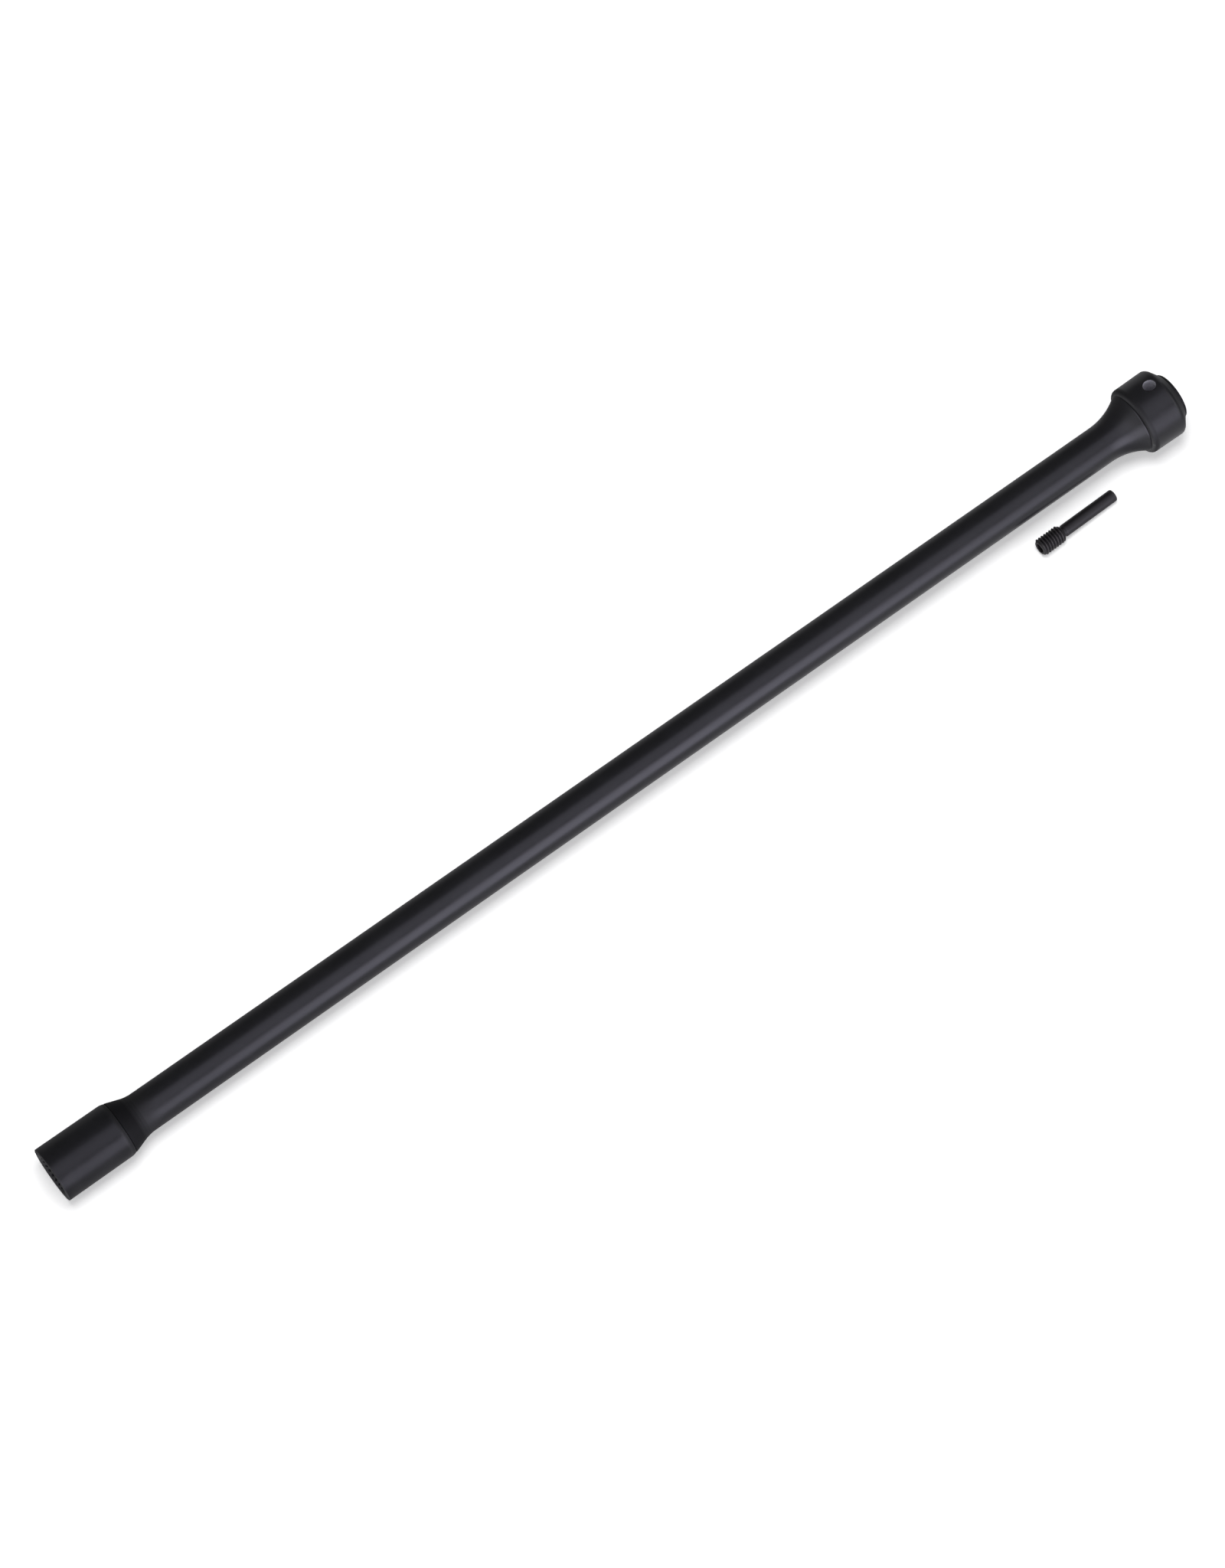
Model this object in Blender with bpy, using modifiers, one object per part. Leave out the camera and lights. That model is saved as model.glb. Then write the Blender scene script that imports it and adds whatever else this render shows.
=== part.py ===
"""Splined drive shaft with a cross-drilled cup, and its loose screw pin lying beside it.

The shaft lies along +X with its splined socket at -X and its cup at +X. Lengths below are in
millimetres and are turned into metres where the meshes are made. Distances "from the mouth" run
along the shaft, from the socket's open end towards the cup.
"""

import math

import bmesh
import bpy
from mathutils import Matrix, Vector

MM = 0.001
GAP = 0.3
MERGE = 0.00001

# Overall
SHAFT_LENGTH = 289.0
SHAFT_Y = 1.77

# Splined socket
SOCKET_LENGTH = 16.8
SOCKET_MOUTH_RADIUS = 6.27
SOCKET_REAR_RADIUS = 6.19
SOCKET_EDGE_START = 15.5
SOCKET_EDGE_RADIUS = 3.0
MOUTH_CHAMFER = 0.25
LEAD_IN_RADIUS = 5.0
LEAD_IN_DEPTH = 0.9
SPLINE_COUNT = 24
SPLINE_MINOR_RADIUS = 4.1
SPLINE_MAJOR_RADIUS = 4.7
SOCKET_DEPTH = 14.8

# Bar
BAR_SOCKET_RADIUS = 4.50
BAR_MIDDLE_RADIUS = 4.39
BAR_CUP_RADIUS = 4.30
BAR_MIDDLE = 130.0
BAR_FLARE_START = 269.7
FLARE_ARC_RADIUS = 15.0
FLARE_END = 278.13
CONE_ANGLE = math.radians(19.0)
CONE_FILLET_RADIUS = 8.6
CONE_FILLET_END = 22.6
SPIGOT_BEVEL = 0.3

# Cup
CUP_BACK = FLARE_END + GAP
CUP_CONE_END = 288.5
CUP_BACK_RADIUS = 7.84
CUP_FRONT_RADIUS = 7.92
CUP_BACK_ROUND = 0.8
CUP_EDGE_START = 285.9
CUP_EDGE_RADIUS = 1.25
CUP_CONE_ANGLE = math.radians(51.5)
CUP_BORE_RADIUS = 5.4
CUP_SPIGOT_END = 280.2

# Bush in the cup's mouth
BUSH_RADIUS = CUP_BORE_RADIUS - GAP
BUSH_BORE_RADIUS = 3.1
BUSH_START = CUP_SPIGOT_END + GAP
BUSH_LIP_ROUND = 0.3
BUSH_LEAD_IN = 0.4

# Cross hole: plain on the side that leans back from the top, pin thread clearance on the other
CROSS_HOLE_AT = 284.1
CROSS_HOLE_LEAN = math.radians(21.0)
PLAIN_HOLE_RADIUS = 1.4
COUNTERSINK_RADIUS = 1.65
COUNTERSINK_DEPTH = 0.3
THREAD_HOLE_RADIUS = 2.1

# Screw pin, an M4 thread on a plain shank
PIN_LENGTH = 20.4
PIN_HEAD_LENGTH = 6.1
PIN_THREAD_RADIUS = 2.0
PIN_THREAD_DEPTH = 0.36
PIN_PITCH = 0.7
PIN_HEAD_CHAMFER = 0.5
PIN_NECK_RADIUS = 1.25
PIN_NECK_LENGTH = 0.5
PIN_SHANK_RADIUS = 1.39
PIN_TIP_ROUND = 0.3
PIN_HEX_ACROSS_FLATS = 2.0
PIN_HEX_DEPTH = 2.5
PIN_HEAD_FROM_MOUTH = 246.6
PIN_HEAD_BESIDE = 9.49
PIN_YAW = math.radians(1.83)

SHAFT_SEGMENTS = 48
PIN_SEGMENTS = 32
ARC_STEPS = 6

# Height of the shaft's axis, and the surface that its two ends and the pin lie on
SHAFT_Z = CUP_FRONT_RADIUS
REST_SLOPE = (CUP_FRONT_RADIUS - SOCKET_MOUTH_RADIUS) / CUP_EDGE_START


def clear_scene():
    for obj in list(bpy.data.objects):
        bpy.data.objects.remove(obj, do_unlink=True)


def new_collection(name):
    collection = bpy.data.collections.new(name)
    bpy.context.scene.collection.children.link(collection)
    return collection


def new_material(name, colour, roughness, metallic):
    material = bpy.data.materials.new(name)
    material.use_nodes = True
    shader = material.node_tree.nodes["Principled BSDF"]
    shader.inputs["Base Color"].default_value = (*colour, 1.0)
    shader.inputs["Roughness"].default_value = roughness
    shader.inputs["Metallic"].default_value = metallic
    material.diffuse_color = (*colour, 1.0)
    return material


def arc(centre_radius, centre_along, radius, start, end, steps=ARC_STEPS):
    """Points of an arc as (radius, distance along), its angle measured from the outward direction."""
    angles = [start + (end - start) * i / steps for i in range(steps + 1)]
    return [
        (centre_radius + radius * math.cos(angle), centre_along + radius * math.sin(angle))
        for angle in angles
    ]


def turned(name, profile, segments, collection, material=None, closed=False):
    """A turned shape about its own Z axis, from (radius, distance along) points, top to bottom."""
    mesh = bpy.data.meshes.new(name)
    outline = bmesh.new()
    points = [outline.verts.new((radius * MM, 0.0, along * MM)) for radius, along in profile]
    for first, second in zip(points, points[1:]):
        outline.edges.new((first, second))
    if closed:
        outline.edges.new((points[-1], points[0]))
    outline.to_mesh(mesh)
    outline.free()
    obj = bpy.data.objects.new(name, mesh)
    collection.objects.link(obj)
    if material:
        mesh.materials.append(material)
    spin = obj.modifiers.new("Turn", "SCREW")
    spin.axis = "Z"
    spin.angle = math.tau
    spin.steps = segments
    spin.render_steps = segments
    spin.use_merge_vertices = True
    spin.merge_threshold = MERGE
    spin.use_smooth_shade = True
    return obj


def make_cutter(obj):
    obj.hide_render = True
    obj.display_type = "WIRE"
    return obj


def cut(obj, cutter):
    boolean = obj.modifiers.new(f"Cut {cutter.name}", "BOOLEAN")
    boolean.operation = "DIFFERENCE"
    boolean.solver = "EXACT"
    boolean.object = cutter


def bar_profile():
    """The cup spigot, the flare, the slow taper, the fillet and cone at the socket, and its spigot."""
    cup_spigot = CUP_BORE_RADIUS - GAP
    socket_spigot = SPLINE_MINOR_RADIUS - GAP
    flare_angle = math.asin((FLARE_END - BAR_FLARE_START) / FLARE_ARC_RADIUS)
    flare = arc(
        BAR_CUP_RADIUS + FLARE_ARC_RADIUS,
        BAR_FLARE_START,
        FLARE_ARC_RADIUS,
        math.pi - flare_angle,
        math.pi,
        2 * ARC_STEPS,
    )
    fillet = arc(
        BAR_SOCKET_RADIUS + CONE_FILLET_RADIUS,
        CONE_FILLET_END,
        CONE_FILLET_RADIUS,
        math.pi,
        math.pi + CONE_ANGLE,
    )
    cone_radius, cone_start = fillet[-1]
    seam = SOCKET_LENGTH + GAP
    seam_radius = cone_radius + (cone_start - seam) * math.tan(CONE_ANGLE)
    return [
        (0.0, CUP_SPIGOT_END),
        (cup_spigot - SPIGOT_BEVEL, CUP_SPIGOT_END),
        (cup_spigot, CUP_SPIGOT_END - SPIGOT_BEVEL),
        (cup_spigot, FLARE_END),
        *flare,
        (BAR_MIDDLE_RADIUS, BAR_MIDDLE),
        *fillet,
        (seam_radius, seam),
        (socket_spigot, seam),
        (socket_spigot, SOCKET_DEPTH + SPIGOT_BEVEL),
        (socket_spigot - SPIGOT_BEVEL, SOCKET_DEPTH),
        (0.0, SOCKET_DEPTH),
    ]


def socket_profile():
    edge_run = SOCKET_LENGTH - SOCKET_EDGE_START
    edge_angle = math.asin(edge_run / SOCKET_EDGE_RADIUS)
    rear_edge = arc(
        SOCKET_REAR_RADIUS - SOCKET_EDGE_RADIUS,
        SOCKET_EDGE_START,
        SOCKET_EDGE_RADIUS,
        edge_angle,
        0.0,
    )
    return [
        *rear_edge,
        (SOCKET_MOUTH_RADIUS, MOUTH_CHAMFER),
        (SOCKET_MOUTH_RADIUS - MOUTH_CHAMFER, 0.0),
        (LEAD_IN_RADIUS, 0.0),
        (SPLINE_MINOR_RADIUS, LEAD_IN_DEPTH),
        (SPLINE_MINOR_RADIUS, SOCKET_LENGTH),
    ]


def cup_profile():
    front_edge = arc(
        CUP_FRONT_RADIUS - CUP_EDGE_RADIUS,
        CUP_EDGE_START,
        CUP_EDGE_RADIUS,
        CUP_CONE_ANGLE,
        0.0,
    )
    back_edge = arc(
        CUP_BACK_RADIUS - CUP_BACK_ROUND,
        CUP_BACK + CUP_BACK_ROUND,
        CUP_BACK_ROUND,
        0.0,
        -math.pi / 2,
    )
    cone_radius, cone_start = front_edge[0]
    cone_end_radius = cone_radius - (CUP_CONE_END - cone_start) * math.tan(CUP_CONE_ANGLE)
    lip_radius = max(cone_end_radius, CUP_BORE_RADIUS + MOUTH_CHAMFER)
    lip_along = cone_start + (cone_radius - lip_radius) / math.tan(CUP_CONE_ANGLE)
    return [
        (CUP_BORE_RADIUS, lip_along),
        (lip_radius, lip_along),
        *front_edge,
        *back_edge,
        (CUP_BORE_RADIUS, CUP_BACK),
    ]


def bush_profile():
    return [
        (BUSH_BORE_RADIUS + BUSH_LEAD_IN, SHAFT_LENGTH),
        (BUSH_RADIUS - BUSH_LIP_ROUND, SHAFT_LENGTH),
        (BUSH_RADIUS, SHAFT_LENGTH - BUSH_LIP_ROUND),
        (BUSH_RADIUS, BUSH_START),
        (BUSH_BORE_RADIUS, BUSH_START),
        (BUSH_BORE_RADIUS, SHAFT_LENGTH - BUSH_LEAD_IN),
    ]


def pin_profile():
    """From the tip to the socketed head: shank, neck, then one ridge for each turn of the thread."""
    shank_end = PIN_HEAD_LENGTH + PIN_NECK_LENGTH
    root = PIN_THREAD_RADIUS - PIN_THREAD_DEPTH
    points = [
        (0.0, PIN_LENGTH),
        (PIN_SHANK_RADIUS - PIN_TIP_ROUND, PIN_LENGTH),
        (PIN_SHANK_RADIUS, PIN_LENGTH - PIN_TIP_ROUND),
        (PIN_SHANK_RADIUS, shank_end),
        (PIN_NECK_RADIUS, shank_end),
        (PIN_NECK_RADIUS, PIN_HEAD_LENGTH),
        (root, PIN_HEAD_LENGTH),
    ]
    ridges = int((PIN_HEAD_LENGTH - 2 * PIN_HEAD_CHAMFER) / PIN_PITCH)
    first_ridge = PIN_HEAD_LENGTH - PIN_HEAD_CHAMFER
    for ridge in range(ridges):
        top = first_ridge - ridge * PIN_PITCH
        points += [
            (PIN_THREAD_RADIUS, top),
            (PIN_THREAD_RADIUS, top - PIN_PITCH / 8),
            (root, top - PIN_PITCH / 2),
            (root, top - 5 * PIN_PITCH / 8),
        ]
    points += [
        (PIN_THREAD_RADIUS, first_ridge - ridges * PIN_PITCH),
        (root, 0.0),
        (0.0, 0.0),
    ]
    return points


def spline_cutter(collection):
    """The space inside the internal splines: a flat outline of trapezoid slots, made thick."""
    outline = bpy.data.curves.new("spline_cutter", "CURVE")
    outline.dimensions = "2D"
    outline.fill_mode = "BOTH"
    outline.extrude = SOCKET_LENGTH * MM
    core_radius = SPLINE_MINOR_RADIUS - GAP
    pitch = math.tau / SPLINE_COUNT
    slot = [(-0.34, core_radius), (-0.17, SPLINE_MAJOR_RADIUS)]
    slot += [(0.17, SPLINE_MAJOR_RADIUS), (0.34, core_radius)]
    spline = outline.splines.new("POLY")
    spline.points.add(SPLINE_COUNT * len(slot) - 1)
    spline.use_cyclic_u = True
    for index, point in enumerate(spline.points):
        share, radius = slot[index % len(slot)]
        angle = (index // len(slot) + share) * pitch
        point.co = (radius * MM * math.cos(angle), radius * MM * math.sin(angle), 0.0, 1.0)
    curve = bpy.data.objects.new("spline_outline", outline)
    collection.objects.link(curve)
    bpy.context.view_layer.update()
    evaluated = curve.evaluated_get(bpy.context.evaluated_depsgraph_get())
    mesh = bpy.data.meshes.new_from_object(evaluated)
    welded = bmesh.new()
    welded.from_mesh(mesh)
    bmesh.ops.remove_doubles(welded, verts=welded.verts, dist=MERGE)
    bmesh.ops.recalc_face_normals(welded, faces=welded.faces)
    welded.to_mesh(mesh)
    welded.free()
    cutter = bpy.data.objects.new("spline_cutter", mesh)
    cutter.matrix_world = curve.matrix_world
    collection.objects.link(cutter)
    bpy.data.objects.remove(curve, do_unlink=True)
    return make_cutter(cutter)


def cross_hole_cutters(collection, parent):
    """The plain hole with its countersink, and the wider hole that the pin's thread enters by."""
    reach = CUP_FRONT_RADIUS + 1.0
    surface = CUP_FRONT_RADIUS
    widening = COUNTERSINK_RADIUS - PLAIN_HOLE_RADIUS
    flare_radius = COUNTERSINK_RADIUS + (reach - surface) * widening / COUNTERSINK_DEPTH
    plain = [
        (0.0, reach),
        (flare_radius, reach),
        (PLAIN_HOLE_RADIUS, surface - COUNTERSINK_DEPTH),
        (PLAIN_HOLE_RADIUS, 0.0),
        (0.0, 0.0),
    ]
    threaded = [(0.0, reach), (THREAD_HOLE_RADIUS, reach), (THREAD_HOLE_RADIUS, 0.0), (0.0, 0.0)]
    cutters = []
    for name, profile, turn in (
        ("plain_hole_cutter", plain, CROSS_HOLE_LEAN),
        ("thread_hole_cutter", threaded, CROSS_HOLE_LEAN + math.pi),
    ):
        cutter = make_cutter(turned(name, profile, PIN_SEGMENTS, collection))
        cutter.parent = parent
        cutter.location = (0.0, 0.0, CROSS_HOLE_AT * MM)
        up = Vector((-math.cos(turn), math.sin(turn), 0.0))
        cutter.rotation_euler = up.to_track_quat("Z", "X").to_euler()
        cutters.append(cutter)
    return cutters


def hex_cutter(collection, parent):
    mesh = bpy.data.meshes.new("hex_cutter")
    prism = bmesh.new()
    corner_radius = PIN_HEX_ACROSS_FLATS / 2 / math.cos(math.pi / 6) * MM
    bmesh.ops.create_cone(
        prism,
        cap_ends=True,
        segments=6,
        radius1=corner_radius,
        radius2=corner_radius,
        depth=2 * PIN_HEX_DEPTH * MM,
    )
    prism.to_mesh(mesh)
    prism.free()
    cutter = make_cutter(bpy.data.objects.new("hex_cutter", mesh))
    cutter.parent = parent
    collection.objects.link(cutter)
    return cutter


def shaft_axis(collection):
    """An empty at the socket's mouth whose Z axis runs along the shaft and whose -X is world up."""
    axis = bpy.data.objects.new("shaft_axis", None)
    axis.location = (-SHAFT_LENGTH / 2 * MM, SHAFT_Y * MM, SHAFT_Z * MM)
    axis.rotation_euler = (0.0, math.pi / 2, 0.0)
    collection.objects.link(axis)
    return axis


def pin_axis(collection):
    """An empty at the pin's head end, with Z along the pin: it lies on its head's rim and its tip."""
    along = PIN_HEAD_FROM_MOUTH - SHAFT_LENGTH / 2
    rest_span = PIN_LENGTH - PIN_TIP_ROUND - (PIN_HEAD_LENGTH - PIN_HEAD_CHAMFER)
    pitch_down = math.asin((PIN_THREAD_RADIUS - PIN_SHANK_RADIUS) / rest_span) + REST_SLOPE
    rim_along = PIN_HEAD_LENGTH - PIN_HEAD_CHAMFER
    surface = (CUP_EDGE_START - PIN_HEAD_FROM_MOUTH - rim_along) * REST_SLOPE
    rim_height = surface + PIN_THREAD_RADIUS / math.cos(pitch_down)
    head_height = rim_height + rim_along * math.sin(pitch_down)
    axis = bpy.data.objects.new("pin_axis", None)
    axis.location = (along * MM, (SHAFT_Y - PIN_HEAD_BESIDE) * MM, head_height * MM)
    turn = Matrix.Rotation(PIN_YAW, 4, "Z") @ Matrix.Rotation(math.pi / 2 + pitch_down, 4, "Y")
    axis.rotation_euler = turn.to_euler()
    collection.objects.link(axis)
    return axis


def main():
    clear_scene()
    parts = new_collection("spline_drive_shaft")
    cutters = new_collection("cutters")
    satin_black = new_material("satin_black_steel", (0.022, 0.022, 0.025), 0.38, 0.0)
    pin_black = new_material("black_oxide_pin", (0.015, 0.014, 0.015), 0.45, 0.0)

    axis = shaft_axis(parts)
    hole_cutters = cross_hole_cutters(cutters, axis)
    shaft_parts = [
        turned("drive_bar", bar_profile(), SHAFT_SEGMENTS, parts, satin_black),
        turned("spline_socket", socket_profile(), SHAFT_SEGMENTS, parts, satin_black, closed=True),
        turned("drive_cup", cup_profile(), SHAFT_SEGMENTS, parts, satin_black, closed=True),
        turned("cup_bush", bush_profile(), SHAFT_SEGMENTS, parts, satin_black, closed=True),
    ]
    for part in shaft_parts:
        part.parent = axis

    splines = spline_cutter(cutters)
    splines.parent = axis
    splines.location = (0.0, 0.0, SOCKET_LENGTH / 2 * MM)
    cut(shaft_parts[1], splines)
    for part in shaft_parts[2:]:
        for cutter in hole_cutters:
            cut(part, cutter)

    pin_empty = pin_axis(parts)
    pin = turned("screw_pin", pin_profile(), PIN_SEGMENTS, parts, pin_black)
    pin.parent = pin_empty
    cut(pin, hex_cutter(cutters, pin_empty))


main()
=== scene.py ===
"""Studio picture of the splined drive shaft and its loose screw pin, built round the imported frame.

Lengths are in millimetres unless a name says otherwise. "Along" runs from the socket's mouth towards
the cup for the shaft, and from the socketed head towards the tip for the pin.
"""

import math

import bmesh
import bpy
import numpy as np
from mathutils import Matrix, Vector


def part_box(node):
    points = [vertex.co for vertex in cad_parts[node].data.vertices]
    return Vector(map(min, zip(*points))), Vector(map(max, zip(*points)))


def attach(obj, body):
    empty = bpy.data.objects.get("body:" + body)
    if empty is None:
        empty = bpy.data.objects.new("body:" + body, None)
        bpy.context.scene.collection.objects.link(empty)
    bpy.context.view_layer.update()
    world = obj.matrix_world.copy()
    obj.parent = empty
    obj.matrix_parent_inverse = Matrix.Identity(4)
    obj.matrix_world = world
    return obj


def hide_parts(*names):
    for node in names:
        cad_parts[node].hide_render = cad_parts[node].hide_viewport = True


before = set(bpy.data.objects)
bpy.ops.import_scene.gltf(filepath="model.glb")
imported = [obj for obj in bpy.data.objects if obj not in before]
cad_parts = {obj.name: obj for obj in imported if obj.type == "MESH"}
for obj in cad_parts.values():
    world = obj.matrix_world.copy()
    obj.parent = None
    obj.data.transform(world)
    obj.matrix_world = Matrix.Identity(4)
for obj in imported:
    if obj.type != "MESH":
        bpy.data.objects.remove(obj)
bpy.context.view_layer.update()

MM = 0.001

# Seams, corner roundings and mesh densities
SEAM = 0.05
BUSH_SEAM = 0.02
EDGE_BREAK = 0.05
EDGE_EASE = 0.12
INNER_EASE = 0.10
SPIGOT_ROUND = 0.25
ROUNDING_REACH = 0.48
CORNER_STEPS = 6
FLARE_STEPS = 24
FILLET_STEPS = 16
EDGE_STEPS = 12
EASING_STEPS = 8
BAR_SEGMENTS = 192
SPLINE_SEGMENTS = 20
CUP_SEGMENTS = 288
BUSH_SEGMENTS = 256
PIN_SEGMENTS = 180
CUTTER_SEGMENTS = 96

# Shaft. Its sizes are the solids' own, but for finer seams and a few softer edges
SHAFT_LENGTH = 289.0
SOCKET_LENGTH = 16.8
SOCKET_MOUTH_RADIUS = 6.27
SOCKET_REAR_RADIUS = 6.19
SOCKET_EDGE_RADIUS = 3.0
SOCKET_EDGE_START = 15.5
SOCKET_MOUTH_ROUND = 0.22
LEAD_IN_RADIUS = 5.0
LEAD_IN_DEPTH = 0.9
SPLINE_COUNT = 24
SPLINE_MINOR_RADIUS = 4.1
SPLINE_MAJOR_RADIUS = 4.7
SPLINE_HALF_WIDTH = 0.34
SPLINE_FLANK = 0.17
SOCKET_DEPTH = 14.8
BAR_SOCKET_RADIUS = 4.50
BAR_MIDDLE_RADIUS = 4.39
BAR_CUP_RADIUS = 4.30
BAR_MIDDLE = 130.0
FLARE_START = 269.7
FLARE_ARC_RADIUS = 15.0
FLARE_END = 278.13
FLARE_LIP = 0.02
CONE_ANGLE = math.radians(19.0)
CONE_FILLET_RADIUS = 8.6
CONE_FILLET_END = 22.6
CUP_BACK_RADIUS = 7.84
CUP_BACK_ROUND = 1.0
CUP_FRONT_RADIUS = 7.92
CUP_CORNER = 286.5
CUP_EDGE_RADIUS = 1.25
CUP_CONE_END = 288.25
CUP_CONE_END_RADIUS = 5.6
CUP_BORE_RADIUS = 5.4
CUP_SPIGOT_END = 280.2
BUSH_START = 280.5
BUSH_BORE_RADIUS = 3.1
BUSH_CHAMFER = 0.45
BUSH_LIP_ROUND = 0.55
CROSS_HOLE_AT = 284.1
CROSS_HOLE_LEAN = math.radians(19.4)
PLAIN_HOLE_RADIUS = 1.4
THREAD_HOLE_RADIUS = 2.1
PLAIN_HOLE_EASING = 0.3
THREAD_HOLE_EASING = 0.25

# Pin
PIN_LENGTH = 20.4
PIN_HEAD_LENGTH = 6.1
PIN_THREAD_RADIUS = 2.0
PIN_THREAD_DEPTH = 0.4
PIN_PITCH = 0.7
PIN_CREST_SHARE = 0.0625
PIN_FLANK_SHARE = 0.33
PIN_THREAD_START = 0.03
PIN_THREAD_STEP = 0.035
PIN_THREAD_END_SLOPE = 1.15
PIN_HEAD_CHAMFER = 0.5
PIN_NECK_RADIUS = 1.25
PIN_NECK_LENGTH = 0.5
PIN_SHANK_RADIUS = 1.39
PIN_TIP_ROUND = 0.3
PIN_HEX_ACROSS_FLATS = 2.0
PIN_HEX_DEPTH = 2.5
PIN_HEX_RIM = 0.12
PIN_HEX_RIM_STEPS = 6
PIN_HEX_POINT = 0.35
PIN_EASE = 0.1
PIN_HEAD_FROM_MOUTH = 246.6
PIN_HEAD_BESIDE = 9.49
PIN_YAW = math.radians(1.83)

# The surface that the cup, the socket's mouth and the pin all lie on falls a little towards the mouth
REST_START = 285.9
REST_SLOPE = (CUP_FRONT_RADIUS - SOCKET_MOUTH_RADIUS) / REST_START

# Finish. A band is four distances along the shaft, between which the finish is rougher and its colour
# darker. The darker colour is painted shade
PAINTED_BAND_SHADE = (0.0055, 0.0055, 0.0060, 1.0)
SHOULDER_BAND = (SOCKET_LENGTH - 0.5, SOCKET_LENGTH, CONE_FILLET_END - 1.5, CONE_FILLET_END + 3.0)
REAR_EDGE_BAND = (
    SOCKET_EDGE_START + 0.1,
    SOCKET_EDGE_START + 0.8,
    SOCKET_LENGTH + 1.0,
    SOCKET_LENGTH + 2.0,
)
BACK_EDGE_BAND = (FLARE_END + 0.35, FLARE_END + 0.7, FLARE_END + 1.2, FLARE_END + 1.6)
# How far along each step of the shoulder ends, and its specular level. The steps are painted shade,
# dimmest at the cone
SHOULDER_STEPS = ((19.4, 0.18), (20.1, 0.26), (20.8, 0.34), (21.6, 0.42))
SATIN = {
    "dark": (0.0095, 0.0095, 0.0105, 1.0),
    "light": (0.0140, 0.0140, 0.0155, 1.0),
    "worn": (0.030, 0.030, 0.032, 1.0),
    "roughness": (0.30, 0.36),
    "grain": 0.5,
    "marks": 0.25,
    "edge": (0.51, 0.58),
}
DULL = {**SATIN, "roughness": (0.58, 0.66), "marks": 0.5}
PIN_DULL = {
    "dark": (0.0080, 0.0070, 0.0072, 1.0),
    "light": (0.0150, 0.0135, 0.0135, 1.0),
    "worn": (0.095, 0.088, 0.085, 1.0),
    "roughness": (0.42, 0.52),
    "grain": 0.7,
    "marks": 0.3,
    "edge": (0.505, 0.55),
}

# The world's glow by direction. Each part is a product of smooth steps, each step an axis, where it
# starts and ends, and its value before and after. +X is the cup's end, -Y the near side, +Z up
WORLD_BASE = 0.10
BEHIND_GLOW = 0.45
BELOW_HORIZON = ("Z", -0.06, 0.02, 1.0, 0.0)
BEHIND = ("Y", 0.2, 0.6, WORLD_BASE, BEHIND_GLOW)
HIGHEST_GLOWS = (
    (("X", 0.6, 0.75, 0.0, 1.0), BEHIND),
    (("X", -0.75, -0.6, 1.0, 0.0), BEHIND),
    (
        ("X", 0.38, 0.50, 0.0, 1.0),
        ("X", 0.66, 0.84, 1.0, 0.0),
        ("Y", -0.3, 0.3, 1.25, 0.30),
        ("Z", 0.0, 0.2, 0.0, 1.0),
    ),
)
ADDED_GLOWS = (
    (
        ("X", 0.05, 0.22, 0.05, 0.47),
        ("X", 0.42, 0.72, 1.0, 0.0),
        ("Y", -0.2, 0.2, 1.0, 0.6),
        BELOW_HORIZON,
    ),
    (("X", 0.42, 0.72, 0.0, 1.0), ("Y", -0.3, 0.2, 0.18, 0.04), BELOW_HORIZON),
    (("X", -0.5, -0.12, 1.0, 0.0), ("Y", 0.1, 0.6, 0.5, 0.05)),
)

# Lights, floor and camera, in metres but for the lens
COOL = (0.845, 0.82, 1.0)
WHITE = (1.0, 1.0, 1.0)
WORLD_COLOUR = (1.0, 1.0, 1.03, 1.0)
# Name, where it stands in Y, where it starts and ends in X, height and radiance
STANDING_LIGHTS = (
    ("key", -0.45, -0.03, 0.22, 0.46, 1.9),
    ("fill", -1.3, -0.45, 0.55, 1.1, 1.2),
    ("cup_fill", -1.3, 0.55, 0.85, 1.4, 1.3),
    ("left", -1.3, -1.60, -0.47, 1.1, 2.0),
)
# Where it is, what it points at, width, depth, radiance and colour
TOP_LIGHT = ((-0.1, -0.35, 1.7), (-0.1, 0.0, 0.0), 1.9, 1.5, 0.85, COOL)
FLOOR_LIGHT = ((0.0, 0.12, 1.7), (0.0, 0.0, 0.0), 0.7, 0.7, 11.8, WHITE)
FLOOR_RADIUS = 3.0
FLOOR_BELOW = 0.00003
FLOOR_GLOW_BELOW = 0.00002
FLOOR_GLOW = 0.37
BACKDROP_RADIUS = 4.0
CAMERA_LENS = 137.1
CAMERA_SENSOR = 36.0
CAMERA_DOWN = math.radians(70.76)
CAMERA_HEADING = math.radians(53.586)
CAMERA_REACH = 1.23946
CAMERA_TARGET = (-0.00302, 0.00194, 0.00792)


# ---------------------------------------------------------------- turned meshes


def arc(along, radius, reach, rise, angle, steps):
    """Points that leave (along, radius) level and curve away, with reach along and rise in radius."""
    turns = [angle * step / steps for step in range(steps + 1)]
    return [(along + reach * math.sin(turn), radius + rise * (1 - math.cos(turn))) for turn in turns]


def rounded(corners, steps=CORNER_STEPS):
    """A profile of (along, radius, rounding) corners as (along, radius) points, each corner an arc.

    A rounding takes a little less than half of each side of its corner at most."""
    points = []
    last = len(corners) - 1
    for index, (along, radius, rounding) in enumerate(corners):
        here = Vector((along, radius))
        if rounding <= 0.0 or index in (0, last):
            points.append(tuple(here))
            continue
        before = Vector(corners[index - 1][:2]) - here
        after = Vector(corners[index + 1][:2]) - here
        half = before.angle(after) / 2
        reach = rounding / math.tan(half)
        reach = min(reach, ROUNDING_REACH * before.length, ROUNDING_REACH * after.length)
        rounding = reach * math.tan(half)
        middle = (before.normalized() + after.normalized()).normalized()
        centre = here + middle * (rounding / math.sin(half))
        start = here + before.normalized() * reach - centre
        end = here + after.normalized() * reach - centre
        turn = start.angle_signed(end)
        for step in range(steps + 1):
            swing = Matrix.Rotation(-turn * step / steps, 2)
            points.append(tuple(centre + swing @ start))
    return points


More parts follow.
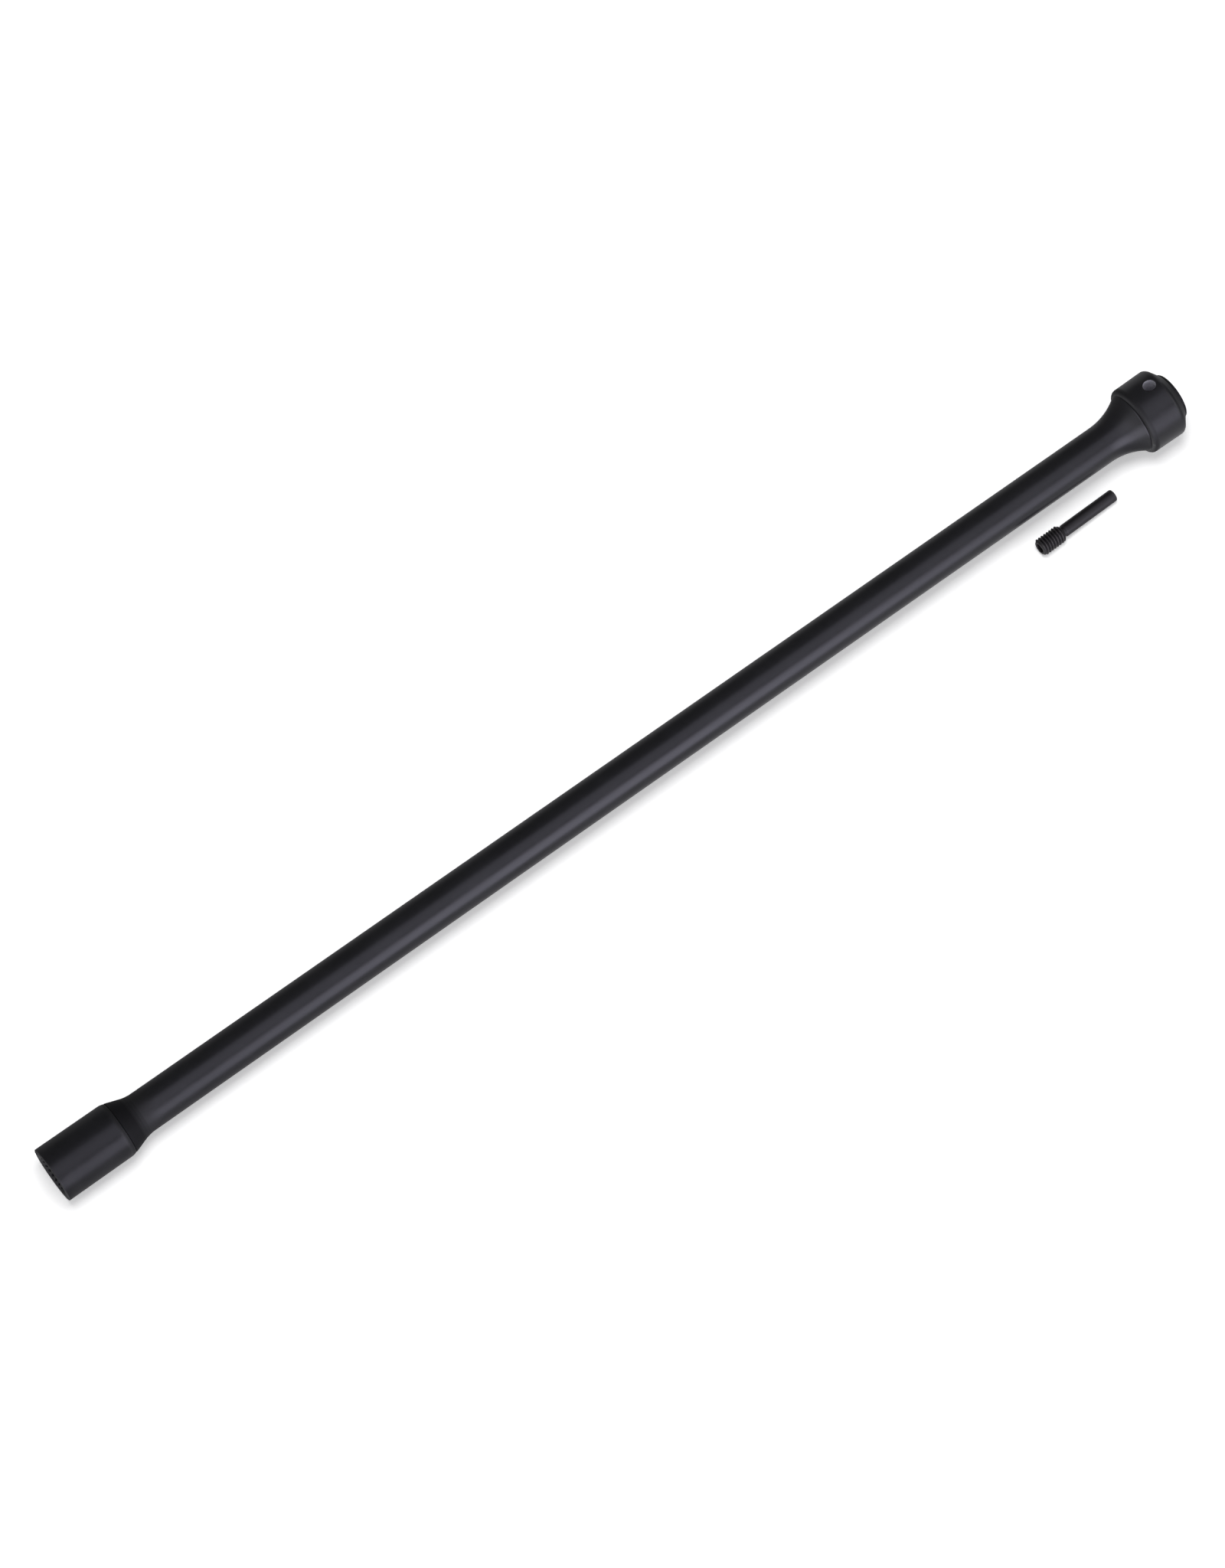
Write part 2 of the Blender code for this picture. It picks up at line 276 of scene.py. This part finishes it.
def divided(points, longest):
    """The same profile with no stretch longer than given."""
    result = [points[0]]
    for first, second in zip(points, points[1:]):
        first, second = Vector(first), Vector(second)
        count = max(1, math.ceil((second - first).length / longest))
        result += [tuple(first.lerp(second, step / count)) for step in range(1, count + 1)]
    return result


def skinned(name, rings, segments, closed=False, place=None, sharp=math.radians(38)):
    """A closed body skinned over rings of (along, radius), each a number or one value per segment.

    Along is the local X. With closed the last ring joins the first, else each end gets a centre point."""
    angles = np.arange(segments) * math.tau / segments
    rows = []
    for along, radius in rings:
        along = np.broadcast_to(np.asarray(along, float), segments)
        radius = np.broadcast_to(np.asarray(radius, float), segments)
        rows.append(np.column_stack((along, radius * np.sin(angles), radius * np.cos(angles))))
    vertices = np.concatenate(rows) * MM
    count = len(rows)
    faces = []
    nxt = (np.arange(segments) + 1) % segments
    for row in range(count if closed else count - 1):
        here, there = row * segments, (row + 1) % count * segments
        faces += [
            (here + i, here + nxt[i], there + nxt[i], there + i) for i in range(segments)
        ]
    if not closed:
        ends = [rows[0].mean(0) * MM, rows[-1].mean(0) * MM]
        first = len(vertices)
        vertices = np.concatenate((vertices, ends))
        last_row = (count - 1) * segments
        faces += [(first, nxt[i], i) for i in range(segments)]
        faces += [(first + 1, last_row + i, last_row + nxt[i]) for i in range(segments)]
    mesh = bpy.data.meshes.new(name)
    mesh.from_pydata(vertices.tolist(), [], faces)
    obj = bpy.data.objects.new(name, mesh)
    bpy.context.scene.collection.objects.link(obj)
    mesh.transform(place or SHAFT_PLACE)
    tidy(obj, sharp)
    return obj


def tidy(obj, sharp):
    """Outward normals, smooth faces, and hard edges where the surface turns more than given."""
    shape = bmesh.new()
    shape.from_mesh(obj.data)
    bmesh.ops.recalc_face_normals(shape, faces=shape.faces)
    for face in shape.faces:
        face.smooth = True
    for edge in shape.edges:
        edge.smooth = edge.calc_face_angle(0.0) < sharp
    shape.to_mesh(obj.data)
    shape.free()


def hole_depths(point):
    """How far a point of the shaft is from the cross hole's axis, and on which side of the cup it is."""
    place = SHAFT_PLACE @ Matrix.Translation((CROSS_HOLE_AT * MM, 0.0, 0.0))
    up = Vector((0.0, math.sin(CROSS_HOLE_LEAN), math.cos(CROSS_HOLE_LEAN)))
    local = place.inverted() @ point
    height = local.dot(up)
    return (local - up * height).length / MM, height / MM


def paint_faces(obj, test, index):
    """The material of that index goes on the faces that pass the test."""
    for face in obj.data.polygons:
        if test(face):
            face.material_index = index


def bored(obj, cutters, sharp=math.radians(30)):
    """The cutters' shapes are taken out of obj's mesh for good."""
    for cutter in cutters:
        step = obj.modifiers.new("Bore", "BOOLEAN")
        step.operation = "DIFFERENCE"
        step.solver = "EXACT"
        step.object = cutter
    bpy.context.view_layer.update()
    done = obj.evaluated_get(bpy.context.evaluated_depsgraph_get())
    mesh = bpy.data.meshes.new_from_object(done)
    obj.modifiers.clear()
    obj.data = mesh
    tidy(obj, sharp)


# ---------------------------------------------------------------- where things are

socket_low, socket_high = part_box("spline_socket")
AXIS_Y = (socket_low.y + socket_high.y) / 2
AXIS_Z = (socket_low.z + socket_high.z) / 2
MOUTH_X = socket_low.x
SHAFT_PLACE = Matrix.Translation((MOUTH_X, AXIS_Y, AXIS_Z))


def pin_place():
    """The pin lies on its head's rim and its tip, pitched down towards the tip."""
    rim_along = PIN_HEAD_LENGTH - PIN_HEAD_CHAMFER
    rest_span = PIN_LENGTH - PIN_TIP_ROUND - rim_along
    pitch_down = math.asin((PIN_THREAD_RADIUS - PIN_SHANK_RADIUS) / rest_span) + REST_SLOPE
    surface = (REST_START - PIN_HEAD_FROM_MOUTH - rim_along) * REST_SLOPE
    height = surface + PIN_THREAD_RADIUS / math.cos(pitch_down) + rim_along * math.sin(pitch_down)
    spot = (
        MOUTH_X + PIN_HEAD_FROM_MOUTH * MM,
        AXIS_Y - PIN_HEAD_BESIDE * MM,
        height * MM,
    )
    turn = Matrix.Rotation(PIN_YAW, 4, "Z") @ Matrix.Rotation(pitch_down, 4, "Y")
    return Matrix.Translation(spot) @ turn


# ---------------------------------------------------------------- pieces


def make_bar():
    """The bar with its cone, its flare and a spigot at each end."""
    flare_angle = math.asin((FLARE_END - FLARE_START) / FLARE_ARC_RADIUS)
    flare = arc(
        FLARE_START, BAR_CUP_RADIUS, FLARE_ARC_RADIUS, FLARE_ARC_RADIUS, flare_angle, FLARE_STEPS
    )
    fillet = arc(
        CONE_FILLET_END,
        BAR_SOCKET_RADIUS,
        -CONE_FILLET_RADIUS,
        CONE_FILLET_RADIUS,
        CONE_ANGLE,
        FILLET_STEPS,
    )
    fillet.reverse()
    seam = SOCKET_LENGTH + SEAM
    seam_radius = fillet[0][1] + (fillet[0][0] - seam) * math.tan(CONE_ANGLE)
    end = rounded(
        [
            (SOCKET_DEPTH, 0.0, 0.0),
            (SOCKET_DEPTH, SPLINE_MINOR_RADIUS - SEAM, SPIGOT_ROUND),
            (seam, SPLINE_MINOR_RADIUS - SEAM, EDGE_BREAK),
            (seam, seam_radius, EDGE_EASE),
            (*fillet[0], 0.0),
        ]
    )
    flare_radius = flare[-1][1]
    other = rounded(
        [
            (*flare[-2], 0.0),
            (FLARE_END, flare_radius, 0.0),
            (FLARE_END + FLARE_LIP, flare_radius, 0.0),
            (FLARE_END + FLARE_LIP, CUP_BORE_RADIUS - SEAM, EDGE_BREAK),
            (CUP_SPIGOT_END, CUP_BORE_RADIUS - SEAM, SPIGOT_ROUND),
            (CUP_SPIGOT_END, 0.0, 0.0),
        ]
    )
    profile = end[1:-1] + fillet + [(BAR_MIDDLE, BAR_MIDDLE_RADIUS)] + flare[:-1] + other[1:-1]
    return skinned("bar", divided(profile, 2.0), BAR_SEGMENTS)


def spline_radius(segments):
    """One bore radius for each segment: grooves between teeth with leaning flanks and eased corners."""
    share = (np.arange(segments) * SPLINE_COUNT / segments + 0.5) % 1.0 - 0.5
    flank = np.clip((SPLINE_HALF_WIDTH - np.abs(share)) / SPLINE_FLANK, 0.0, 1.0)
    eased = flank * flank * (3 - 2 * flank)
    return SPLINE_MINOR_RADIUS + (SPLINE_MAJOR_RADIUS - SPLINE_MINOR_RADIUS) * eased


def make_socket():
    """A tube with a turned outside, a chamfered mouth and splines down its bore."""
    segments = SPLINE_COUNT * SPLINE_SEGMENTS
    splines = spline_radius(segments)
    edge_angle = math.asin((SOCKET_LENGTH - SOCKET_EDGE_START) / SOCKET_EDGE_RADIUS)
    rear_edge = arc(
        SOCKET_EDGE_START,
        SOCKET_REAR_RADIUS,
        SOCKET_EDGE_RADIUS,
        -SOCKET_EDGE_RADIUS,
        edge_angle,
        EDGE_STEPS,
    )
    outside = rounded(
        [
            (0.0, LEAD_IN_RADIUS, 0.0),
            (0.0, SOCKET_MOUTH_RADIUS, SOCKET_MOUTH_ROUND),
            (*rear_edge[0], 0.0),
        ]
    )
    outside += rear_edge[1:-1]
    outside += rounded(
        [
            (*rear_edge[-2], 0.0),
            (*rear_edge[-1], EDGE_EASE),
            (SOCKET_LENGTH, SPLINE_MAJOR_RADIUS + SEAM, 0.0),
        ]
    )[1:]
    bore = [(SOCKET_LENGTH, splines)]
    for along in np.linspace(SOCKET_LENGTH, LEAD_IN_DEPTH + 0.2, 14)[1:]:
        bore.append((along, splines))
    for along in np.linspace(LEAD_IN_DEPTH + 0.1, 0.0, 21):
        cone = LEAD_IN_RADIUS - (LEAD_IN_RADIUS - SPLINE_MINOR_RADIUS) * along / LEAD_IN_DEPTH
        bore.append((along, np.maximum(splines, cone)))
    # The chamfer's last ring is round, so that it meets the mouth's flat face without a step
    bore[-1] = (0.03, np.full(segments, LEAD_IN_RADIUS - 0.03))
    return skinned("socket", divided(outside, 1.2) + bore, segments, closed=True)


def hole_cutter(name, turn, radius, easing):
    """A turned cutter for one side of the cross hole, its edge eased where it leaves the surface."""
    profile = [(0.0, radius)]
    for step in range(EASING_STEPS + 1):
        swing = math.pi / 2 * step / EASING_STEPS
        height = CUP_FRONT_RADIUS - easing * (1 - math.sin(swing))
        profile.append((height, radius + easing * (1 - math.cos(swing))))
    profile.append((CUP_FRONT_RADIUS + 1.0, radius + easing + 0.4))
    up = Vector((0.0, math.sin(turn), math.cos(turn)))
    place = (
        SHAFT_PLACE
        @ Matrix.Translation((CROSS_HOLE_AT * MM, 0.0, 0.0))
        @ up.to_track_quat("X", "Y").to_matrix().to_4x4()
    )
    return skinned(name, profile, CUTTER_SEGMENTS, place=place)


def hole_cutters():
    return [
        hole_cutter("plain_hole", CROSS_HOLE_LEAN, PLAIN_HOLE_RADIUS, PLAIN_HOLE_EASING),
        hole_cutter(
            "thread_hole", CROSS_HOLE_LEAN + math.pi, THREAD_HOLE_RADIUS, THREAD_HOLE_EASING
        ),
    ]


def make_cup(cutters):
    """A tube with a rounded back, a chamfered front and the cross hole through its wall."""
    back = FLARE_END + FLARE_LIP + SEAM
    profile = rounded(
        [
            (CUP_CONE_END, CUP_BORE_RADIUS, 0.0),
            (back, CUP_BORE_RADIUS, EDGE_BREAK),
            (back, CUP_BACK_RADIUS, CUP_BACK_ROUND),
            (CUP_CORNER, CUP_FRONT_RADIUS, CUP_EDGE_RADIUS),
            (CUP_CONE_END, CUP_CONE_END_RADIUS, INNER_EASE),
            (CUP_CONE_END, CUP_BORE_RADIUS + 0.001, 0.0),
        ]
    )
    cup = skinned("cup", divided(profile, 0.25), CUP_SEGMENTS, closed=True)
    bored(cup, cutters)
    return cup


def make_bush(cutters):
    """The ring in the cup's bore, with a rounded lip and the cross hole through it."""
    outer = CUP_BORE_RADIUS - BUSH_SEAM
    middle = (BUSH_BORE_RADIUS + outer) / 2
    profile = rounded(
        [
            (BUSH_START, middle, 0.0),
            (BUSH_START, outer, INNER_EASE),
            (SHAFT_LENGTH, outer, BUSH_LIP_ROUND),
            (SHAFT_LENGTH, BUSH_BORE_RADIUS + BUSH_CHAMFER, EDGE_EASE),
            (SHAFT_LENGTH - BUSH_CHAMFER, BUSH_BORE_RADIUS, EDGE_EASE),
            (BUSH_START, BUSH_BORE_RADIUS, INNER_EASE),
            (BUSH_START, middle - 0.001, 0.0),
        ]
    )
    bush = skinned("bush", divided(profile, 0.25), BUSH_SEGMENTS, closed=True)
    bored(bush, cutters)
    return bush


def make_pin():
    """One body: a hex recess, a helical thread with a chamfer at each end, a neck and a plain shank.

    The rings run from the bottom of the recess, over the head's face and thread, to the tip."""
    angles = np.arange(PIN_SEGMENTS) * math.tau / PIN_SEGMENTS
    root = PIN_THREAD_RADIUS - PIN_THREAD_DEPTH
    face_radius = PIN_THREAD_RADIUS - PIN_HEAD_CHAMFER
    flat = PIN_HEX_ACROSS_FLATS / 2 / np.cos((angles + math.pi / 6) % (math.pi / 3) - math.pi / 6)
    rings = [
        (PIN_HEX_DEPTH + PIN_HEX_POINT, 0.12),
        (PIN_HEX_DEPTH, flat * 0.72),
        (PIN_HEX_DEPTH, flat * 0.99),
    ]
    rings += [(along, flat) for along in np.linspace(PIN_HEX_DEPTH - 0.03, PIN_HEX_RIM, 12)]
    for step in range(PIN_HEX_RIM_STEPS):
        along = PIN_HEX_RIM * (PIN_HEX_RIM_STEPS - 1 - step) / PIN_HEX_RIM_STEPS
        rings.append((along, flat + 0.02 * step**1.2))
    edge = flat + 0.18
    for share in (0.35, 0.7, 1.0):
        rings.append((0.0, edge + (face_radius - 0.04 - edge) * share))
    for along in np.arange(PIN_THREAD_START, PIN_HEAD_LENGTH, PIN_THREAD_STEP):
        turn = (along / PIN_PITCH - angles / math.tau) % 1.0
        height = np.clip(1 - (np.abs(turn - 0.5) - PIN_CREST_SHARE) / PIN_FLANK_SHARE, 0.0, 1.0)
        radius = root + PIN_THREAD_DEPTH * height
        limit = min(
            PIN_THREAD_RADIUS,
            face_radius + along,
            face_radius - PIN_EASE + (PIN_HEAD_LENGTH - along) * PIN_THREAD_END_SLOPE,
        )
        rings.append((along, np.minimum(radius, limit)))
    shank_start = PIN_HEAD_LENGTH + PIN_NECK_LENGTH
    shank = rounded(
        [
            (PIN_HEAD_LENGTH, face_radius - 0.12, 0.0),
            (PIN_HEAD_LENGTH, PIN_NECK_RADIUS, 0.08),
            (shank_start, PIN_NECK_RADIUS, PIN_EASE),
            (shank_start + PIN_EASE, PIN_SHANK_RADIUS, PIN_EASE),
            (PIN_LENGTH, PIN_SHANK_RADIUS, PIN_TIP_ROUND),
            (PIN_LENGTH, 0.25, 0.0),
        ]
    )
    rings += divided(shank, 0.6)
    return skinned("pin", rings, PIN_SEGMENTS, place=pin_place(), sharp=math.radians(34))


# ---------------------------------------------------------------- materials


class Graph:
    """Adds nodes to a material and links them."""

    def __init__(self, name):
        self.material = bpy.data.materials.new(name)
        self.material.use_nodes = True
        self.nodes = self.material.node_tree.nodes
        self.links = self.material.node_tree.links
        self.shader = self.nodes["Principled BSDF"]

    def add(self, kind, inputs=None, **settings):
        node = self.nodes.new(kind)
        for key, value in settings.items():
            setattr(node, key, value)
        for socket, value in (inputs or {}).items():
            if isinstance(value, bpy.types.NodeSocket):
                self.links.new(value, node.inputs[socket])
            else:
                node.inputs[socket].default_value = value
        return node

    def noise(self, vector, scale, detail=3.0, roughness=0.55):
        node = self.add(
            "ShaderNodeTexNoise",
            {"Vector": vector, "Scale": scale, "Detail": detail, "Roughness": roughness},
        )
        return node.outputs["Fac"]

    def stretched(self, vector, scale):
        return self.add("ShaderNodeMapping", {"Vector": vector, "Scale": scale}).outputs["Vector"]

    def span(self, value, low, high, to_low, to_high):
        node = self.add(
            "ShaderNodeMapRange",
            {"Value": value, "From Min": low, "From Max": high, "To Min": to_low, "To Max": to_high},
        )
        return node.outputs["Result"]

    def math(self, operation, first, second):
        node = self.add("ShaderNodeMath", {0: first, 1: second}, operation=operation)
        return node.outputs["Value"]

    def mix(self, share, first, second):
        node = self.add("ShaderNodeMix", data_type="RGBA")
        for index, value in ((0, share), (6, first), (7, second)):
            if isinstance(value, bpy.types.NodeSocket):
                self.links.new(value, node.inputs[index])
            else:
                node.inputs[index].default_value = value
        return node.outputs[2]


def oxide(name, look, band=None, band_change=0.0, specular=0.5):
    """Black finish: fine grain, faint turning marks round the part, blotches and rubbed edges.

    Over a band its roughness changes by the given amount and changes back, and its colour darkens as
    painted shade."""
    g = Graph(name)
    place = g.add("ShaderNodeTexCoord").outputs["Object"]
    blotch = g.noise(place, 140.0, 4.0)
    cloud = g.noise(place, 900.0, 3.0)
    fine = g.noise(place, 5200.0, 2.0, 0.6)
    turning = g.noise(g.stretched(place, (9000.0, 160.0, 160.0)), 1.0, 2.0)
    points = g.add("ShaderNodeNewGeometry").outputs["Pointiness"]
    rub = g.span(points, *look["edge"], 0.0, 1.0)
    rub = g.math("MULTIPLY", rub, g.span(cloud, 0.35, 0.65, 0.35, 1.0))
    tone = g.span(g.math("ADD", blotch, g.math("MULTIPLY", cloud, 0.5)), 0.5, 1.0, 0.0, 1.0)
    colour = g.mix(rub, g.mix(tone, look["dark"], look["light"]), look["worn"])
    rough = g.span(tone, 0.0, 1.0, *look["roughness"])
    rough = g.math("ADD", rough, g.span(fine, 0.3, 0.7, -0.03, 0.03))
    rough = g.math("SUBTRACT", rough, g.math("MULTIPLY", rub, 0.08))
    if band:
        along = g.add("ShaderNodeSeparateXYZ", {0: place}).outputs["X"]
        start, full, fading, end = [MOUTH_X + distance * MM for distance in band]
        inside = g.span(along, start, full, 0.0, 1.0)
        inside = g.math("MULTIPLY", inside, g.span(along, fading, end, 1.0, 0.0))
        rough = g.math("ADD", rough, g.math("MULTIPLY", inside, band_change))
        # Painted shade: over the band the colour is darkened towards the band's shade colour
        colour = g.mix(inside, colour, PAINTED_BAND_SHADE)
    g.links.new(colour, g.shader.inputs["Base Color"])
    g.links.new(rough, g.shader.inputs["Roughness"])
    grain = g.math("MULTIPLY", fine, look["grain"])
    relief = g.math("ADD", grain, g.math("MULTIPLY", turning, look["marks"]))
    bump = g.add("ShaderNodeBump", {"Height": relief, "Strength": 0.5, "Distance": 0.00002})
    g.links.new(bump.outputs["Normal"], g.shader.inputs["Normal"])
    g.shader.inputs["Specular IOR Level"].default_value = specular
    return g.material


def painted_hole_light(name):
    """A pale grey, partly metallic finish with fine grain for the cross hole's wall: painted light,
    standing for the light seen inside the hole.
    """
    g = Graph(name)
    place = g.add("ShaderNodeTexCoord").outputs["Object"]
    fine = g.noise(place, 6000.0, 2.0)
    colour = g.mix(g.noise(place, 1500.0), (0.42, 0.42, 0.44, 1.0), (0.60, 0.60, 0.63, 1.0))
    g.links.new(colour, g.shader.inputs["Base Color"])
    g.links.new(g.span(fine, 0.3, 0.7, 0.40, 0.55), g.shader.inputs["Roughness"])
    bump = g.add("ShaderNodeBump", {"Height": fine, "Strength": 0.4, "Distance": 0.00002})
    g.links.new(bump.outputs["Normal"], g.shader.inputs["Normal"])
    g.shader.inputs["Metallic"].default_value = 0.3
    return g.material


# ---------------------------------------------------------------- stage, light and camera


def plain_glow(name, strength, clear):
    """A shader that only glows. With clear what lies behind it shows through as well."""
    material = bpy.data.materials.new(name)
    material.use_nodes = True
    nodes, links = material.node_tree.nodes, material.node_tree.links
    nodes.clear()
    glow = nodes.new("ShaderNodeEmission")
    glow.inputs["Strength"].default_value = strength
    out = nodes.new("ShaderNodeOutputMaterial")
    if clear:
        both = nodes.new("ShaderNodeAddShader")
        links.new(nodes.new("ShaderNodeBsdfTransparent").outputs[0], both.inputs[0])
        links.new(glow.outputs[0], both.inputs[1])
        glow = both
    links.new(glow.outputs[0], out.inputs["Surface"])
    return material


def for_camera_only(obj):
    obj.visible_diffuse = False
    obj.visible_glossy = False
    obj.visible_transmission = False
    obj.visible_shadow = False


def make_floor():
    """A pale plane that the cup, the socket's mouth and the pin all touch, so it falls a little along X.

    A clear glowing sheet on it lifts what the camera sees to white and lights nothing."""
    rest_x = MOUTH_X + REST_START * MM
    floors = []
    for name, below in (("floor", FLOOR_BELOW), ("floor_glow", FLOOR_GLOW_BELOW)):
        bpy.ops.mesh.primitive_circle_add(vertices=96, radius=FLOOR_RADIUS, fill_type="NGON")
        floor = bpy.context.object
        floor.name = name
        floor.rotation_euler = (0.0, math.atan(REST_SLOPE), 0.0)
        floor.location = (0.0, 0.0, rest_x * REST_SLOPE - below)
        floors.append(floor)
    g = Graph("pale_floor")
    g.shader.inputs["Base Color"].default_value = (0.86, 0.86, 0.86, 1.0)
    g.shader.inputs["Roughness"].default_value = 0.9
    g.shader.inputs["Specular IOR Level"].default_value = 0.0
    floors[0].data.materials.append(g.material)
    floors[0].visible_glossy = False
    floors[0].visible_shadow = False
    floors[1].data.materials.append(plain_glow("floor_glow", FLOOR_GLOW, True))
    for_camera_only(floors[1])
    return floors[0]


def make_backdrop():
    """A white dome that only the camera sees, so that every view has a pale background."""
    bpy.ops.mesh.primitive_uv_sphere_add(segments=48, ring_count=24, radius=BACKDROP_RADIUS)
    dome = bpy.context.object
    dome.name = "backdrop"
    dome.data.materials.append(plain_glow("white_backdrop", 1.0, False))
    for_camera_only(dome)


def softbox(name, where, aim, width, height, radiance, colour, lit):
    """A rectangular light that the camera doesn't see and that lights one collection only."""
    light = bpy.data.lights.new(name, "AREA")
    light.shape = "RECTANGLE"
    light.size = width
    light.size_y = height
    light.energy = radiance * math.pi * width * height
    light.color = colour
    lamp = bpy.data.objects.new(name, light)
    lamp.location = where
    lamp.rotation_euler = (Vector(aim) - Vector(where)).to_track_quat("-Z", "Y").to_euler()
    lamp.visible_camera = False
    lamp.light_linking.receiver_collection = lit
    bpy.context.scene.collection.objects.link(lamp)


def collected(name, objects):
    collection = bpy.data.collections.new(name)
    bpy.context.scene.collection.children.link(collection)
    for obj in objects:
        collection.objects.link(obj)
    return collection


def light_from_all_round(tree):
    """The world's glow by direction. Below the horizon it stands in for the floor's light."""
    nodes, links = tree.nodes, tree.links
    place = nodes.new("ShaderNodeSeparateXYZ")
    links.new(nodes.new("ShaderNodeTexCoord").outputs["Generated"], place.inputs[0])

    def combine(operation, first, second):
        node = nodes.new("ShaderNodeMath")
        node.operation = operation
        for index, value in enumerate((first, second)):
            if isinstance(value, bpy.types.NodeSocket):
                links.new(value, node.inputs[index])
            else:
                node.inputs[index].default_value = value
        return node.outputs["Value"]

    def product(steps):
        result = 1.0
        for axis, *numbers in steps:
            node = nodes.new("ShaderNodeMapRange")
            node.interpolation_type = "SMOOTHSTEP"
            for name, number in zip(("From Min", "From Max", "To Min", "To Max"), numbers):
                node.inputs[name].default_value = number
            links.new(place.outputs[axis], node.inputs["Value"])
            result = combine("MULTIPLY", result, node.outputs["Result"])
        return result

    glow = WORLD_BASE
    for steps in HIGHEST_GLOWS:
        glow = combine("MAXIMUM", glow, product(steps))
    for steps in ADDED_GLOWS:
        glow = combine("ADD", glow, product(steps))
    links.new(glow, nodes["Background"].inputs["Strength"])
    nodes["Background"].inputs["Color"].default_value = WORLD_COLOUR


def make_lights(pieces, floor):
    world = bpy.data.worlds.new("studio")
    world.use_nodes = True
    light_from_all_round(world.node_tree)
    bpy.context.scene.world = world
    shaft_lit = collected("lit_by_softboxes", pieces)
    floor_lit = collected("lit_from_above", [floor])
    for name, wall, start, end, height, radiance in STANDING_LIGHTS:
        middle = (start + end) / 2
        spot = (middle, wall, height / 2)
        aim = (middle, 0.0, height / 2)
        softbox(name, spot, aim, end - start, height, radiance, COOL, shaft_lit)
    softbox("top", *TOP_LIGHT, shaft_lit)
    softbox("floor_light", *FLOOR_LIGHT, floor_lit)


def make_camera():
    data = bpy.data.cameras.new("camera")
    data.lens = CAMERA_LENS
    data.sensor_width = CAMERA_SENSOR
    data.clip_start = 0.01
    data.clip_end = 20.0
    camera = bpy.data.objects.new("camera", data)
    sight = Vector(
        (
            math.cos(CAMERA_DOWN) * math.cos(CAMERA_HEADING),
            math.cos(CAMERA_DOWN) * math.sin(CAMERA_HEADING),
            -math.sin(CAMERA_DOWN),
        )
    )
    camera.location = Vector(CAMERA_TARGET) - sight * CAMERA_REACH
    camera.rotation_euler = sight.to_track_quat("-Z", "Y").to_euler()
    bpy.context.scene.collection.objects.link(camera)
    bpy.context.scene.camera = camera


# ---------------------------------------------------------------- put together


def finish_piece(piece, material, body, node, others=()):
    """The others are (material, test) pairs, and the last test that a face passes decides."""
    piece.data.materials.clear()
    piece.data.materials.append(material)
    for index, (other, test) in enumerate(others, 1):
        piece.data.materials.append(other)
        paint_faces(piece, test, index)
    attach(piece, body)
    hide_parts(node)
    return piece


def is_end_face(face):
    """It looks along the shaft, as the socket's two end faces do."""
    return abs(face.normal.x) > 0.8


def shoulder_steps():
    """Stepped copies of the bar's finish, a painted shade: the cone behind the socket shines least, and
    the fillet after it more with each step.
    """
    steps = []
    for index, (reach, specular) in reversed(list(enumerate(SHOULDER_STEPS))):
        step = oxide(f"shoulder_painted_shade_{index}", SATIN, SHOULDER_BAND, 0.3, specular)
        end = MOUTH_X + reach * MM
        steps.append((step, lambda face, end=end: face.center.x < end))
    return steps


def is_drilled(face):
    """It is on the wall of the cross hole."""
    off, height = hole_depths(face.center)
    radius = PLAIN_HOLE_RADIUS if height > 0 else THREAD_HOLE_RADIUS
    return off < radius + 0.03 and abs(height) > BUSH_BORE_RADIUS - 0.5


# Over their bands the bar, socket and cup are darkened: painted shade at the shoulder, the socket's rear
# edge and the cup's back edge
bar_black = oxide("bar_black", SATIN, SHOULDER_BAND, 0.3)
socket_black = oxide("socket_black", SATIN, REAR_EDGE_BAND, 0.3, specular=0.42)
cup_black = oxide("cup_black", SATIN, BACK_EDGE_BAND, 0.25)
dull_face = oxide("dull_face", DULL, specular=0.25)
pin_black = oxide("dull_black", PIN_DULL)
# The cross hole's wall is coloured pale grey: painted light inside the hole
drilled = [(painted_hole_light("hole_wall_painted_light"), is_drilled)]
end_face = [(dull_face, is_end_face)]

cross_holes = hole_cutters()
bar, socket = make_bar(), make_socket()
cup, bush = make_cup(cross_holes), make_bush(cross_holes)
pieces = [
    finish_piece(bar, bar_black, "shaft", "drive_bar", shoulder_steps()),
    finish_piece(socket, socket_black, "shaft", "spline_socket", end_face),
    finish_piece(cup, cup_black, "shaft", "drive_cup", drilled),
    finish_piece(bush, dull_face, "shaft", "cup_bush", drilled),
    finish_piece(make_pin(), pin_black, "pin", "screw_pin"),
]
for spent in cross_holes:
    bpy.data.objects.remove(spent, do_unlink=True)

floor = make_floor()
make_backdrop()
make_lights(pieces, floor)
make_camera()
bpy.context.scene.view_settings.view_transform = "Standard"
